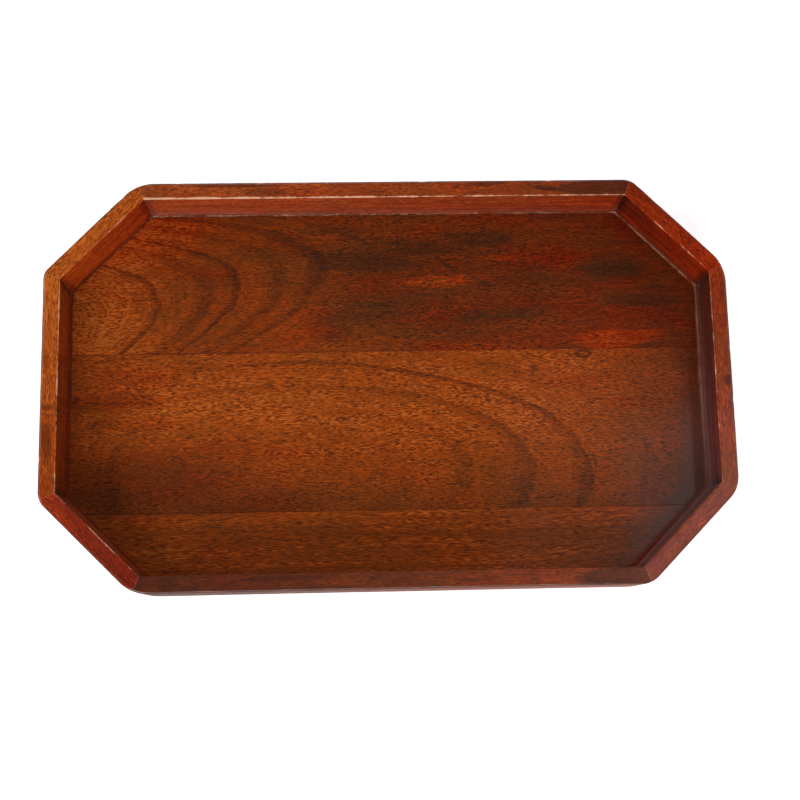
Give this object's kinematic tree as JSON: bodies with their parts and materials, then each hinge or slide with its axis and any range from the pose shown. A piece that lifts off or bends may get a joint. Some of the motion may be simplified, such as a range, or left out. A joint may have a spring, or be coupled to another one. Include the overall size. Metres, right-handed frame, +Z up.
{
  "type": "serving tray",
  "caption": "Long eight-sided wooden serving tray: a low rim of mitred rails round a flat floor of edge-joined boards, with a glossy lacquer.",
  "frame": {"origin": "on the table, under the middle of the tray", "axes": "+X along the tray to its right end, +Y across it to its back, +Z up"},
  "size_m": [0.4, 0.24, 0.04],
  "materials": {
    "rim_wood": "reddish brown stain under a glossy clear lacquer",
    "floor_wood": "orange brown stain with dark streaks under a glossy clear lacquer",
    "spline_wood": "bare, glued"
  },
  "bodies": {
    "root": {"right_end_rail": "rim_wood", "back_right_corner_rail": "rim_wood", "back_rail": "rim_wood", "back_left_corner_rail": "rim_wood", "left_end_rail": "rim_wood", "front_left_corner_rail": "rim_wood", "front_rail": "rim_wood", "front_right_corner_rail": "rim_wood", "floor_board_back": "floor_wood", "floor_board_middle": "floor_wood", "floor_board_front": "floor_wood", "spline_right_front": "spline_wood", "spline_right_back": "spline_wood", "spline_back_right": "spline_wood", "spline_back_left": "spline_wood", "spline_left_back": "spline_wood", "spline_left_front": "spline_wood", "spline_front_left": "spline_wood", "spline_front_right": "spline_wood"}
  },
  "joints": []
}
